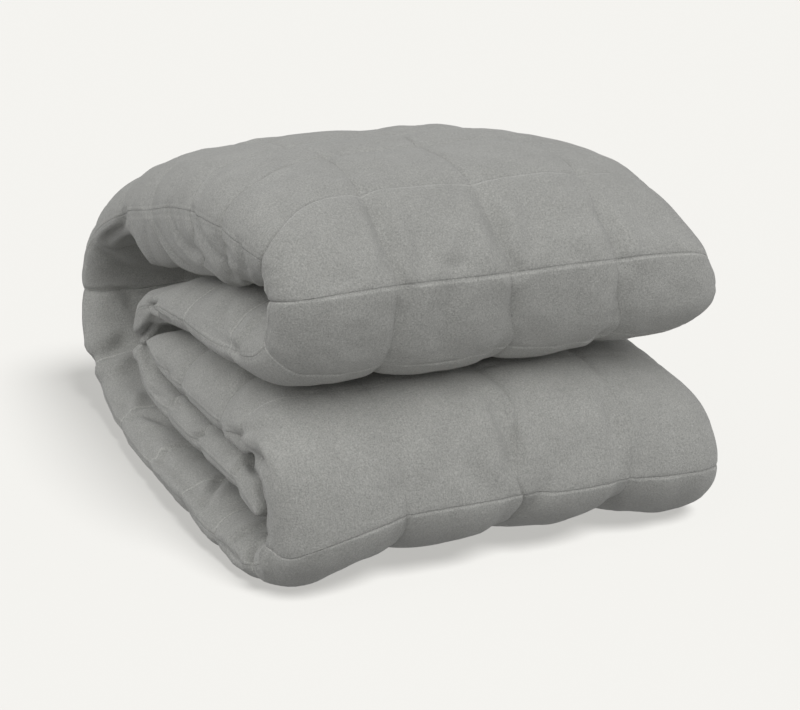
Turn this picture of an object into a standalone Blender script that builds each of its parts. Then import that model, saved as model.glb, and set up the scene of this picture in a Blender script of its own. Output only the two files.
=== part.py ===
# A quilted weighted blanket, folded into a thick strip and laid back and forth on itself.
# One solid: two cloth faces closed on a hem all round, raised between the quilting seams.
# Metres, +Z up, front towards -Y, resting on Z = 0.

import math

import bmesh
import bpy

SQUARE = 0.100  # one quilted square, seam to seam
ACROSS = 4  # squares across the folded strip
LEFT_X = -0.02  # left hem, in squares from the left end's nominal line
RIGHT_X = 4.08  # right hem, in squares
LEFT_REACH = 1.2  # how far in from the left hem the hem's sag is felt, in squares
RIGHT_REACH = 1.3  # the same from the right hem
RIGHT_THIN = 0.35  # share of the thickness lost at the right hem, which is pressed flatter
HEM_ROUND = 0.36  # largest radius of the round edge at a side hem, in squares
PUFF = 2.2  # how full a square is between its seams
HEM_RISE = 0.3  # length over which the strip's two short ends thicken, in squares
FLOOR = 0.0  # the surface that the blanket rests on
NEAR = 0.02  # step used to find which way the strip runs, in squares
CLOTH_COLOUR = (0.36, 0.36, 0.345, 1.0)
CLOTH_ROUGHNESS = 0.92

# The strip, followed from its tucked-in end. Lengths are in squares.
#   along   distance along the strip, a seam at each whole number
#   y, z    middle of the strip's thickness, front to back and height
#   outer   thickness from the middle to the outer cloth
#   inner   thickness from the middle to the inner cloth
#   ly, lz  how far the left hem sits from the middle
#   ry, rz  how far the right hem sits from the middle
#   col     share of the thickness drawn in at a lengthwise seam
#   row     share of the thickness drawn in at a crosswise seam
#   drop    how much further the inner cloth is from the middle at the left hem
#   lx      how far the left hem sits to the left of the end's nominal line
COLUMNS = ("along", "y", "z", "outer", "inner", "ly", "lz", "ry", "rz", "col", "row", "drop", "lx")
STRIP = (
    # tongue, from its tip forward
    (0.00, 3.48, 1.26, 0.12, 0.10, 0.04, 0.00, 0.00, 0.00, 0.17, 0.13, 0.00, 0.00),
    (0.50, 3.12, 1.22, 0.24, 0.15, 0.04, -0.04, 0.00, 0.00, 0.17, 0.13, 0.00, 0.00),
    (1.00, 2.65, 1.20, 0.32, 0.19, 0.05, -0.07, 0.00, 0.00, 0.17, 0.13, 0.00, 0.00),
    (2.00, 1.75, 1.22, 0.35, 0.22, 0.00, -0.10, 0.00, -0.03, 0.17, 0.13, -0.04, 0.00),
    (2.50, 1.28, 1.21, 0.35, 0.22, 0.00, -0.10, 0.04, -0.08, 0.15, 0.12, -0.04, 0.00),
    # lower front fold
    (3.00, 0.79, 1.19, 0.36, 0.21, 0.00, -0.06, 0.06, -0.15, 0.10, 0.05, 0.00, 0.00),
    (3.50, 0.38, 1.05, 0.32, 0.20, -0.04, -0.10, -0.02, -0.16, 0.07, 0.03, 0.00, 0.00),
    (4.00, 0.35, 0.69, 0.45, 0.18, -0.03, -0.17, -0.16, -0.15, 0.13, 0.05, 0.00, 0.00),
    (4.50, 0.50, 0.44, 0.31, 0.16, -0.08, -0.16, -0.16, -0.20, 0.30, 0.06, 0.00, 0.02),
    # base, lying on the surface
    (5.00, 0.88, 0.25, 0.27, 0.17, -0.28, -0.07, -0.08, -0.08, 0.32, 0.15, 0.00, 0.06),
    (6.00, 1.60, 0.20, 0.26, 0.20, -0.34, 0.01, 0.00, -0.04, 0.20, 0.13, 0.00, 0.15),
    (7.00, 2.45, 0.20, 0.26, 0.20, -0.34, 0.03, 0.00, -0.04, 0.20, 0.13, 0.00, 0.16),
    (8.00, 3.28, 0.20, 0.26, 0.20, -0.17, 0.03, 0.00, -0.04, 0.20, 0.13, 0.00, 0.16),
    (9.00, 4.22, 0.22, 0.25, 0.20, 0.00, 0.02, 0.00, -0.02, 0.20, 0.13, 0.00, 0.10),
    # spine, round the back
    (9.60, 4.84, 0.34, 0.24, 0.20, 0.02, 0.00, 0.00, 0.00, 0.18, 0.12, 0.00, 0.05),
    (10.2, 5.31, 0.66, 0.24, 0.20, 0.05, 0.00, 0.00, 0.00, 0.17, 0.13, 0.00, 0.08),
    (11.0, 5.60, 1.24, 0.24, 0.22, 0.05, 0.00, 0.00, 0.00, 0.15, 0.11, 0.00, 0.02),
    (12.0, 5.20, 2.02, 0.28, 0.25, 0.00, -0.14, 0.00, -0.10, 0.16, 0.13, -0.06, 0.00),
    # top, coming forward
    (13.0, 4.26, 2.56, 0.32, 0.30, -0.15, -0.23, 0.00, -0.20, 0.12, 0.10, 0.04, 0.00),
    (13.4, 3.90, 2.66, 0.33, 0.44, -0.14, -0.22, 0.00, -0.20, 0.11, 0.09, 0.26, 0.00),
    (14.0, 3.35, 2.77, 0.34, 0.50, -0.12, -0.22, 0.00, -0.20, 0.11, 0.09, 0.26, 0.00),
    (15.0, 2.56, 2.88, 0.34, 0.52, -0.26, -0.13, 0.00, -0.18, 0.11, 0.09, 0.28, 0.00),
    (16.0, 1.76, 2.90, 0.34, 0.51, -0.36, -0.10, -0.04, -0.18, 0.11, 0.08, 0.20, 0.00),
    # upper front fold
    (17.0, 0.94, 2.78, 0.34, 0.36, -0.24, -0.05, 0.00, -0.27, 0.10, 0.05, 0.04, -0.03),
    (17.5, 0.61, 2.61, 0.29, 0.22, -0.18, 0.06, 0.03, -0.23, 0.08, 0.04, 0.00, -0.05),
    (18.0, 0.44, 2.40, 0.32, 0.15, -0.14, 0.03, -0.02, -0.17, 0.08, 0.03, 0.00, -0.05),
    (18.5, 0.45, 2.04, 0.28, 0.18, -0.12, 0.15, -0.13, -0.02, 0.17, 0.03, 0.00, -0.05),
    (19.0, 0.63, 1.86, 0.27, 0.29, -0.12, 0.11, -0.04, -0.01, 0.24, 0.03, -0.04, -0.04),
    # second layer, going back
    (20.0, 1.37, 1.87, 0.22, 0.46, -0.20, -0.05, 0.00, -0.05, 0.17, 0.13, -0.20, 0.00),
    (21.0, 2.30, 1.82, 0.20, 0.45, 0.00, -0.06, 0.00, -0.05, 0.17, 0.13, -0.27, 0.00),
    (22.0, 3.10, 1.71, 0.20, 0.26, 0.10, -0.04, 0.00, -0.02, 0.16, 0.13, -0.13, 0.00),
    # turn round the tongue's tip
    (22.5, 3.63, 1.50, 0.19, 0.17, 0.05, 0.00, 0.00, 0.00, 0.15, 0.11, 0.00, 0.00),
    (23.0, 3.79, 1.14, 0.19, 0.18, 0.05, 0.00, 0.00, 0.00, 0.15, 0.11, 0.00, 0.00),
    (23.5, 3.52, 0.81, 0.18, 0.20, 0.00, 0.00, 0.00, 0.00, 0.15, 0.11, 0.00, 0.00),
    # last layer, coming forward inside the lower front fold
    (24.0, 2.97, 0.70, 0.19, 0.22, -0.06, 0.05, 0.00, 0.00, 0.15, 0.11, 0.00, 0.00),
    (25.0, 2.10, 0.69, 0.19, 0.22, -0.05, 0.04, 0.00, 0.00, 0.15, 0.11, -0.04, 0.00),
    (26.0, 1.30, 0.68, 0.18, 0.18, -0.20, 0.04, 0.00, 0.00, 0.15, 0.11, -0.03, 0.00),
    (26.6, 0.84, 0.64, 0.14, 0.12, -0.30, -0.02, 0.00, 0.00, 0.15, 0.11, 0.00, 0.00),
)

# How many steps each square gets along the strip: flat layers need fewer than folds.
#   start, end  squares along the strip
#   steps       places inside each square where the cloth is drawn, seam first
STEPS = (
    (0, 3, (0.0, 0.16, 0.5, 0.84)),
    (3, 5, (0.0, 0.125, 0.25, 0.375, 0.5, 0.625, 0.75, 0.875)),
    (5, 9, (0.0, 0.16, 0.5, 0.84)),
    (9, 12, (0.0, 0.2, 0.4, 0.6, 0.8)),
    (12, 17, (0.0, 0.14, 0.38, 0.62, 0.86)),
    (17, 19, (0.0, 0.125, 0.25, 0.375, 0.5, 0.625, 0.75, 0.875)),
    (19, 22, (0.0, 0.16, 0.5, 0.84)),
    (22, 24, (0.0, 0.16, 0.33, 0.5, 0.67, 0.84)),
    (24, 26, (0.0, 0.16, 0.5, 0.84)),
    (26, 27, (0.0, 0.2, 0.4)),
)
STRIP_ENDS = (0.04, 0.24)  # extra steps close to the tongue's tip and to the last hem
ACROSS_STEPS = (
    0.0, 0.027, 0.105, 0.22, 0.36, 0.65, 1.0, 1.2, 1.5, 1.8, 2.0,
    2.2, 2.5, 2.8, 3.0, 3.35, 3.64, 3.78, 3.895, 3.973, 4.0,
)


def slopes(rows, column):
    """The rate of change of a column at each row, for a smooth curve through them."""
    gaps = [b[0] - a[0] for a, b in zip(rows, rows[1:])]
    steep = [
        (b[column] - a[column]) / gap for a, b, gap in zip(rows, rows[1:], gaps)
    ]
    found = [steep[0]]
    for k in range(1, len(rows) - 1):
        before, after = gaps[k - 1], gaps[k]
        found.append((steep[k - 1] * after + steep[k] * before) / (before + after))
    found.append(steep[-1])
    return found


SLOPES = [slopes(STRIP, column) for column in range(len(COLUMNS))]


def strip_at(along):
    """The strip's measures at a distance along it, by name."""
    k = 0
    while k < len(STRIP) - 2 and STRIP[k + 1][0] <= along:
        k += 1
    gap = STRIP[k + 1][0] - STRIP[k][0]
    t = (along - STRIP[k][0]) / gap
    h00 = 2 * t**3 - 3 * t**2 + 1
    h10 = t**3 - 2 * t**2 + t
    h01 = 3 * t**2 - 2 * t**3
    h11 = t**3 - t**2
    found = {}
    for column, name in enumerate(COLUMNS):
        found[name] = (
            h00 * STRIP[k][column]
            + h10 * gap * SLOPES[column][k]
            + h01 * STRIP[k + 1][column]
            + h11 * gap * SLOPES[column][k + 1]
        )
    return found


def sag(inside, reach):
    """How much of a hem's sag is felt at a distance inside it."""
    return max(0.0, 1 - inside / reach) ** 1.5


def middle(along, across):
    """The middle of the thickness there, with the sag of each hem."""
    here = strip_at(along)
    left = sag(across, LEFT_REACH)
    right = sag(ACROSS - across, RIGHT_REACH)
    y = here["y"] + left * here["ly"] + right * here["ry"]
    z = here["z"] + left * here["lz"] + right * here["rz"]
    return y, z


def fullness(distance):
    """0 on a seam and 1 midway between seams, for a distance in squares."""
    off = 2 * abs(distance - round(distance))
    return 1 - (1 - off) ** PUFF


def rounding(distance, radius):
    """How far a rounded edge has risen at a distance in from the hem."""
    t = min(1.0, max(0.0, distance / radius))
    return math.sqrt(1 - (1 - t) ** 2)


def cloth_points(along, across, length):
    """The outer and the inner cloth there, in squares."""
    here = strip_at(along)
    y, z = middle(along, across)
    y0, z0 = middle(max(0.0, along - NEAR), across)
    y1, z1 = middle(min(length, along + NEAR), across)
    run = math.hypot(y1 - y0, z1 - z0)
    ny, nz = (z1 - z0) / run, (y0 - y1) / run
    drawn = 1 - here["col"] * (1 - fullness(across))
    drawn *= 1 - here["row"] * (1 - fullness(along))
    drawn *= 1 - RIGHT_THIN * sag(ACROSS - across, RIGHT_REACH)
    drawn *= rounding(min(along, length - along), HEM_RISE)
    x = across
    if across < 1:
        x = LEFT_X + across * (1 - LEFT_X) - here["lx"] * sag(across, LEFT_REACH)
    if across > ACROSS - 1:
        x = ACROSS - 1 + (across - ACROSS + 1) * (RIGHT_X - ACROSS + 1)
    side = min(across, ACROSS - across)
    deep = here["inner"] + here["drop"] * sag(across, LEFT_REACH)
    out = here["outer"] * drawn * rounding(side, min(HEM_ROUND, here["outer"]))
    inn = deep * drawn * rounding(side, min(HEM_ROUND, deep))
    outer = (x, y + ny * out, max(FLOOR, z + nz * out))
    inner = (x, y - ny * inn, z - nz * inn)
    return outer, inner


def along_stations():
    """Every place along the strip where the cloth is drawn."""
    end = STRIP[-1][0]
    found = [float(s) + f for a, b, steps in STEPS for s in range(a, b) for f in steps]
    found = [s for s in found if s < end - STRIP_ENDS[1]]
    found += [STRIP_ENDS[0], end - STRIP_ENDS[1], end - STRIP_ENDS[0], end]
    return sorted(set(round(s, 4) for s in found))


def build_blanket():
    """The whole folded blanket as one closed mesh."""
    stations = along_stations()
    length = stations[-1]
    rows = [[cloth_points(s, a, length) for a in ACROSS_STEPS] for s in stations]
    every = [p for row in rows for pair in row for p in pair]
    mid_x = (min(p[0] for p in every) + max(p[0] for p in every)) / 2
    mid_y = (min(p[1] for p in every) + max(p[1] for p in every)) / 2
    mesh = bmesh.new()

    def vertex(point):
        x, y, z = point
        return mesh.verts.new(
            ((x - mid_x) * SQUARE, (y - mid_y) * SQUARE, z * SQUARE)
        )

    last_row, last_col = len(stations) - 1, len(ACROSS_STEPS) - 1
    outer, inner = [], []
    for i, row in enumerate(rows):
        outer.append([vertex(pair[0]) for pair in row])
        inner.append([])
        for j, pair in enumerate(row):
            on_hem = i in (0, last_row) or j in (0, last_col)
            inner[-1].append(outer[i][j] if on_hem else vertex(pair[1]))
    for i in range(last_row):
        for j in range(last_col):
            face = mesh.faces.new(
                (outer[i][j], outer[i][j + 1], outer[i + 1][j + 1], outer[i + 1][j])
            )
            face.smooth = True
            face = mesh.faces.new(
                (inner[i][j], inner[i + 1][j], inner[i + 1][j + 1], inner[i][j + 1])
            )
            face.smooth = True
    bmesh.ops.triangulate(mesh, faces=mesh.faces)
    bmesh.ops.recalc_face_normals(mesh, faces=mesh.faces)
    data = bpy.data.meshes.new("quilted_blanket")
    mesh.to_mesh(data)
    mesh.free()
    return data


def brushed_cloth():
    """The blanket's one material: soft, matt grey cloth."""
    cloth = bpy.data.materials.new("grey_brushed_cloth")
    cloth.use_nodes = True
    shader = cloth.node_tree.nodes["Principled BSDF"]
    shader.inputs["Base Color"].default_value = CLOTH_COLOUR
    shader.inputs["Roughness"].default_value = CLOTH_ROUGHNESS
    shader.inputs["Metallic"].default_value = 0.0
    cloth.diffuse_color = CLOTH_COLOUR
    return cloth


for old in list(bpy.data.objects):
    bpy.data.objects.remove(old, do_unlink=True)

blanket = bpy.data.objects.new("quilted_blanket", build_blanket())
bpy.context.scene.collection.objects.link(blanket)
blanket.data.materials.append(brushed_cloth())
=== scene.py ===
# A quilted weighted blanket in grey brushed cloth, folded into a thick strip and laid back and
# forth on itself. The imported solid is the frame, and one detailed piece of cloth replaces it.
# Metres, +Z up, front towards -Y, resting on Z = 0.

import math

import bpy
import numpy as np
from mathutils import Matrix, Vector


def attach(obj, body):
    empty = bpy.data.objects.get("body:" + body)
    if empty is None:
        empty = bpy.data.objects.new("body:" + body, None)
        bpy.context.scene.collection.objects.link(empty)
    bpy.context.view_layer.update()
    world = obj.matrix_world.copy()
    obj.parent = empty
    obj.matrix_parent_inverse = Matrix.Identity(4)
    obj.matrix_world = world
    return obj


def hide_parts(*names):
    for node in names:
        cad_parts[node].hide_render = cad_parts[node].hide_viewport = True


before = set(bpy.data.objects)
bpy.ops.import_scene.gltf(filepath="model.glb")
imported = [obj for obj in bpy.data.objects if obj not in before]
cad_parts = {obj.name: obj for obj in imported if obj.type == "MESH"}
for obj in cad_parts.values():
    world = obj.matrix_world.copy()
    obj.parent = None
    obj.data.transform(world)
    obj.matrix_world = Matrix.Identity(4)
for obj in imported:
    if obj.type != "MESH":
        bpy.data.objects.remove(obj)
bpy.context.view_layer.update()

SQUARE = 0.100  # one quilted square, seam to seam
ACROSS = 4  # squares across the folded strip
LEFT_X = -0.02  # left hem, in squares from the left end's nominal line
RIGHT_X = 4.08  # right hem, in squares
LEFT_REACH = 1.2  # how far in from the left hem the hem's sag is felt, in squares
RIGHT_REACH = 1.3  # the same from the right hem
RIGHT_THIN = 0.35  # share of the thickness lost at the right hem, which is pressed flatter
HEM_RISE = 0.3  # length over which the strip's two short ends thicken, in squares
MIDDLE = (1.9478, 2.8717)  # x and y of the row's origin, in squares
NEAR = 0.02  # step used to find which way the strip runs, in squares
HEM_ROUND = 0.36  # largest radius of the round edge at a side hem, in squares
PUFF = 2.3  # how full a square is between its seams
SEED = 14

# How a seam draws a side hem in, in squares
HEM_PINCH = 0.03  # how far in all
PINCH_WIDTH = 0.10  # how far along the hem it is felt
PINCH_EASE = 0.3  # share of it that the hem swells by between the seams
PINCH_REACH = 0.6  # how far in from the hem it is felt

# The strip, followed from its tucked-in end. Lengths are in squares.
#   along   distance along the strip, a seam at each whole number
#   y, z    middle of the strip's thickness, front to back and height
#   outer   thickness from the middle to the outer cloth
#   inner   thickness from the middle to the inner cloth
#   ly, lz  how far the left hem sits from the middle
#   ry, rz  how far the right hem sits from the middle
#   col     share of the thickness drawn in at a lengthwise seam
#   row     share of the thickness drawn in at a crosswise seam
#   drop    how much further the inner cloth is from the middle at the left hem
#   lx      how far the left hem sits to the left of the end's nominal line
COLUMNS = ("along", "y", "z", "outer", "inner", "ly", "lz", "ry", "rz", "col", "row", "drop", "lx")
STRIP = np.array((
    # tongue, from its tip forward
    (0.00, 3.48, 1.26, 0.12, 0.10, 0.04, 0.00, 0.00, 0.00, 0.17, 0.13, 0.00, 0.00),
    (0.50, 3.12, 1.22, 0.24, 0.15, 0.04, -0.04, 0.00, 0.00, 0.17, 0.13, 0.00, 0.00),
    (1.00, 2.65, 1.20, 0.32, 0.19, 0.05, -0.07, 0.00, 0.00, 0.17, 0.13, 0.00, 0.00),
    (2.00, 1.75, 1.22, 0.35, 0.22, 0.00, -0.10, 0.00, -0.03, 0.17, 0.13, -0.04, 0.00),
    (2.50, 1.28, 1.21, 0.35, 0.22, 0.00, -0.10, 0.04, -0.08, 0.15, 0.12, -0.04, 0.00),
    # lower front fold
    (3.00, 0.79, 1.19, 0.36, 0.21, 0.00, -0.06, 0.06, -0.15, 0.10, 0.05, 0.00, 0.00),
    (3.50, 0.38, 1.05, 0.32, 0.20, -0.04, -0.10, -0.02, -0.16, 0.07, 0.03, 0.00, 0.00),
    (4.00, 0.35, 0.69, 0.45, 0.18, -0.03, -0.17, -0.16, -0.15, 0.13, 0.05, 0.00, 0.00),
    (4.50, 0.50, 0.44, 0.31, 0.16, -0.08, -0.16, -0.16, -0.20, 0.30, 0.06, 0.00, 0.02),
    # base, lying on the surface
    (5.00, 0.88, 0.25, 0.27, 0.17, -0.28, -0.07, -0.08, -0.08, 0.32, 0.15, 0.00, 0.06),
    (6.00, 1.60, 0.20, 0.26, 0.20, -0.34, 0.01, 0.00, -0.04, 0.20, 0.13, 0.00, 0.15),
    (7.00, 2.45, 0.20, 0.26, 0.20, -0.34, 0.03, 0.00, -0.04, 0.20, 0.13, 0.00, 0.16),
    (8.00, 3.28, 0.20, 0.26, 0.20, -0.17, 0.03, 0.00, -0.04, 0.20, 0.13, 0.00, 0.16),
    (9.00, 4.22, 0.22, 0.25, 0.20, 0.00, 0.02, 0.00, -0.02, 0.20, 0.13, 0.00, 0.10),
    # spine, round the back
    (9.60, 4.84, 0.34, 0.24, 0.20, 0.02, 0.00, 0.00, 0.00, 0.18, 0.12, 0.00, 0.05),
    (10.2, 5.31, 0.66, 0.24, 0.20, 0.05, 0.00, 0.00, 0.00, 0.17, 0.13, 0.00, 0.08),
    (11.0, 5.60, 1.24, 0.24, 0.22, 0.05, 0.00, 0.00, 0.00, 0.15, 0.11, 0.00, 0.02),
    (12.0, 5.20, 2.02, 0.28, 0.25, 0.00, -0.14, 0.00, -0.10, 0.16, 0.13, -0.06, 0.00),
    # top, coming forward
    (13.0, 4.26, 2.56, 0.32, 0.30, -0.15, -0.23, 0.00, -0.20, 0.12, 0.10, 0.04, 0.00),
    (13.4, 3.90, 2.66, 0.33, 0.44, -0.14, -0.22, 0.00, -0.20, 0.11, 0.09, 0.26, 0.00),
    (14.0, 3.35, 2.77, 0.34, 0.50, -0.12, -0.22, 0.00, -0.20, 0.11, 0.09, 0.26, 0.00),
    (15.0, 2.56, 2.88, 0.34, 0.52, -0.26, -0.13, 0.00, -0.18, 0.11, 0.09, 0.28, 0.00),
    (16.0, 1.76, 2.90, 0.34, 0.51, -0.36, -0.10, -0.04, -0.18, 0.11, 0.08, 0.20, 0.00),
    # upper front fold
    (17.0, 0.94, 2.78, 0.34, 0.36, -0.24, -0.05, 0.00, -0.27, 0.10, 0.05, 0.04, -0.03),
    (17.5, 0.61, 2.61, 0.29, 0.22, -0.18, 0.06, 0.03, -0.23, 0.08, 0.04, 0.00, -0.05),
    (18.0, 0.44, 2.40, 0.32, 0.15, -0.14, 0.03, -0.02, -0.17, 0.08, 0.03, 0.00, -0.05),
    (18.5, 0.45, 2.04, 0.28, 0.18, -0.12, 0.15, -0.13, -0.02, 0.17, 0.03, 0.00, -0.05),
    (19.0, 0.63, 1.86, 0.27, 0.29, -0.12, 0.11, -0.04, -0.01, 0.24, 0.03, -0.04, -0.04),
    # second layer, going back
    (20.0, 1.37, 1.87, 0.22, 0.46, -0.20, -0.05, 0.00, -0.05, 0.17, 0.13, -0.20, 0.00),
    (21.0, 2.30, 1.82, 0.20, 0.45, 0.00, -0.06, 0.00, -0.05, 0.17, 0.13, -0.27, 0.00),
    (22.0, 3.10, 1.71, 0.20, 0.26, 0.10, -0.04, 0.00, -0.02, 0.16, 0.13, -0.13, 0.00),
    # turn round the tongue's tip
    (22.5, 3.63, 1.50, 0.19, 0.17, 0.05, 0.00, 0.00, 0.00, 0.15, 0.11, 0.00, 0.00),
    (23.0, 3.79, 1.14, 0.19, 0.18, 0.05, 0.00, 0.00, 0.00, 0.15, 0.11, 0.00, 0.00),
    (23.5, 3.52, 0.81, 0.18, 0.20, 0.00, 0.00, 0.00, 0.00, 0.15, 0.11, 0.00, 0.00),
    # last layer, coming forward inside the lower front fold
    (24.0, 2.97, 0.70, 0.19, 0.22, -0.06, 0.05, 0.00, 0.00, 0.15, 0.11, 0.00, 0.00),
    (25.0, 2.10, 0.69, 0.19, 0.22, -0.05, 0.04, 0.00, 0.00, 0.15, 0.11, -0.04, 0.00),
    (26.0, 1.30, 0.68, 0.18, 0.18, -0.20, 0.04, 0.00, 0.00, 0.15, 0.11, -0.03, 0.00),
    (26.6, 0.84, 0.64, 0.14, 0.12, -0.30, -0.02, 0.00, 0.00, 0.15, 0.11, 0.00, 0.00),
))
LENGTH = STRIP[-1, 0]

# How finely the cloth is drawn: steps in each square along the strip, and across it.
#   start, end  squares along the strip
#   steps       rows of points in each of them
ALONG_STEPS = (
    (0, 2, 10),
    (2, 3, 20),
    (3, 6, 28),
    (6, 9, 16),
    (9, 12, 22),
    (12, 20, 28),
    (20, 26, 14),
)
HEM_STEPS = 12  # columns of points round each side hem's edge
OUTER_STEPS = (15, 26, 26, 13)  # columns of points from there in, in each square of the outer cloth
INNER_STEPS = (13, 8, 8, 7)  # the same for the inner cloth, which is hidden but for its hems
CROWD = 0.55  # how much closer together the points are at a seam
END_GAP = 0.02  # smallest step left in front of the strip's free end, in squares


def slopes(column):
    """The rate of change of a column at each row, for a smooth curve through them."""
    gaps = np.diff(STRIP[:, 0])
    steep = np.diff(STRIP[:, column]) / gaps
    inside = (steep[:-1] * gaps[1:] + steep[1:] * gaps[:-1]) / (gaps[:-1] + gaps[1:])
    return np.concatenate(([steep[0]], inside, [steep[-1]]))


SLOPES = np.array([slopes(column) for column in range(len(COLUMNS))]).T


def strip_at(along):
    """The strip's measures at distances along it, by name."""
    k = np.clip(np.searchsorted(STRIP[:, 0], along, side="right") - 1, 0, len(STRIP) - 2)
    gap = STRIP[k + 1, 0] - STRIP[k, 0]
    t = (along - STRIP[k, 0]) / gap
    h00 = 2 * t**3 - 3 * t**2 + 1
    h10 = t**3 - 2 * t**2 + t
    h01 = 3 * t**2 - 2 * t**3
    h11 = t**3 - t**2
    return {
        name: (
            h00 * STRIP[k, column]
            + h10 * gap * SLOPES[k, column]
            + h01 * STRIP[k + 1, column]
            + h11 * gap * SLOPES[k + 1, column]
        )
        for column, name in enumerate(COLUMNS)
    }


def sag(inside, reach):
    """How much of a hem's sag is felt at a distance inside it."""
    return np.maximum(0.0, 1 - inside / reach) ** 1.5


def middle(along, across):
    """The middle of the thickness there, with the sag of each hem."""
    here = strip_at(along)
    left = sag(across, LEFT_REACH)
    right = sag(ACROSS - across, RIGHT_REACH)
    y = here["y"] + left * here["ly"] + right * here["ry"]
    z = here["z"] + left * here["lz"] + right * here["rz"]
    return y, z


def rounding(distance, radius):
    """How far a rounded edge has risen at a distance in from the hem."""
    t = np.clip(distance / radius, 0.0, 1.0)
    return np.sqrt(1 - (1 - t) ** 2)


def seam_distance(place):
    """How far the nearest seam is, in squares."""
    return np.abs(place - np.round(place))


def fullness(place, power):
    """0 on a seam and 1 midway between seams."""
    return 1 - (1 - 2 * seam_distance(place)) ** power


def crowded(start, count):
    """Places through one square, closer together at its two seams."""
    t = np.arange(count) / count
    return start + t - CROWD * np.sin(2 * np.pi * t) / (2 * np.pi)


def along_places():
    """Places along the strip, from its tucked-in end to its free end."""
    found = [crowded(s, n) for a, b, n in ALONG_STEPS for s in range(a, b)]
    _, end, steps = ALONG_STEPS[-1]
    last = crowded(end, 2 * steps)  # the strip ends within this square
    found.append(last[last < LENGTH - END_GAP])
    found.append([LENGTH])
    return np.concatenate(found)


def across_places(steps):
    """Places across the strip, which follow the round edge close to each hem."""
    edge = HEM_ROUND * (1 - np.cos(np.pi / 2 * np.arange(HEM_STEPS) / HEM_STEPS))
    first, last = ((1 - HEM_ROUND) * np.arange(n) / n for n in (steps[0], steps[-1]))
    inside = [crowded(k, n) for k, n in enumerate(steps[1:-1], start=1)]
    left = (edge, HEM_ROUND + first)
    right = (ACROSS - 1 + last, ACROSS - HEM_ROUND, ACROSS - edge[:0:-1], ACROSS)
    return np.concatenate((*left, *inside, *right), axis=None)


LATTICE = (256, 64)  # random values along the strip and across it, before they repeat
LATTICE_START = 3.0  # where on the lattice the strip's first corner lies


def waves(along, across, height, seed, along_size, across_size):
    """Smooth seeded noise on the flat cloth, from a lattice of random values.
    The sizes are those of one wave, in squares."""
    values = np.random.default_rng(seed).uniform(-1, 1, LATTICE)
    u = along / along_size + LATTICE_START
    v = across / across_size + LATTICE_START
    i, j = np.floor(u).astype(int), np.floor(v).astype(int)
    s, t = u - i, v - j
    s, t = s * s * s * (s * (6 * s - 15) + 10), t * t * t * (t * (6 * t - 15) + 10)

    def value(a, b):
        return values[a % LATTICE[0], b % LATTICE[1]]

    low = value(i, j) * (1 - s) + value(i + 1, j) * s
    high = value(i, j + 1) * (1 - s) + value(i + 1, j + 1) * s
    return height * (low * (1 - t) + high * t)


# Where a seam strays from its nominal line, as the photograph shows, in squares.
#   along, across  middle of the stray stretch
#   reach          how far it is felt along the strip and across it
#   shift          along the strip and across it
STRAYS = (
    (14.0, 0.1, 0.5, 0.5, 0.12, 0.00),
    (15.0, 0.4, 0.6, 0.8, 0.42, 0.00),
    (16.0, 0.25, 0.6, 0.35, 0.28, 0.00),
    (17.0, 0.0, 0.5, 0.40, 0.38, 0.00),
    (17.0, 3.7, 0.5, 0.6, -0.28, 0.00),
    (16.0, 2.6, 0.6, 1.0, -0.14, 0.00),
    (19.0, 2.0, 0.5, 3.0, -0.28, 0.00),
    (15.8, 1.0, 0.8, 0.4, 0.00, 0.10),
    (15.0, 2.0, 0.8, 0.4, 0.00, 0.12),
    (16.7, 3.0, 0.5, 0.4, 0.00, 0.08),
    (18.9, 2.0, 0.5, 0.4, 0.00, 0.12),
    (18.9, 3.0, 0.5, 0.4, 0.00, 0.12),
    (3.35, 2.0, 0.3, 0.4, 0.00, 0.11),
    (3.77, 2.0, 0.22, 0.4, 0.00, -0.07),
    (4.1, 2.0, 0.3, 0.4, 0.00, 0.08),
    (3.8, 3.0, 0.6, 0.4, 0.00, 0.06),
    (4.0, 0.0, 0.4, 0.18, 0.16, 0.00),
    (4.0, 1.2, 0.4, 1.2, -0.09, 0.00),
    (1.0, 0.0, 0.7, 0.8, 0.25, 0.00),
    (2.0, 0.0, 0.5, 0.8, 0.32, 0.00),
    (3.0, 0.0, 0.5, 0.3, -0.14, 0.00),
    (7.5, 0.5, 1.4, 0.5, -0.40, 0.00),
)
# Small straying of all seams along the strip and across it: how far, seed, size of a wave
STRAY_ALONG = (0.018, SEED + 1, 1.3, 0.9)
STRAY_ACROSS = (0.022, SEED + 2, 1.1, 1.0)
STRAY_FADE = 0.5  # how far in from the strip's edges it has grown to the full, in squares


def wander(along, across):
    """How far the seams stray from straight, along and across, in squares."""
    go_along = waves(along, across, *STRAY_ALONG)
    go_across = waves(along, across, *STRAY_ACROSS)
    for s, a, reach_s, reach_a, shift_s, shift_a in STRAYS:
        felt = np.exp(-(((along - s) / reach_s) ** 2) - ((across - a) / reach_a) ** 2)
        go_along = go_along + shift_s * felt
        go_across = go_across + shift_a * felt
    ends = np.clip(np.minimum(along, LENGTH - along) / STRAY_FADE, 0, 1)
    hems = np.clip(np.minimum(across, ACROSS - across) / STRAY_FADE, 0, 1)
    return go_along * ends, go_across * hems


def thickness(here, across, side):
    """How far one side's cloth is from the strip's middle, in squares."""
    dropped = here["inner"] + here["drop"] * sag(across, LEFT_REACH)
    return np.where(side > 0, here["outer"], dropped)


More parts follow.
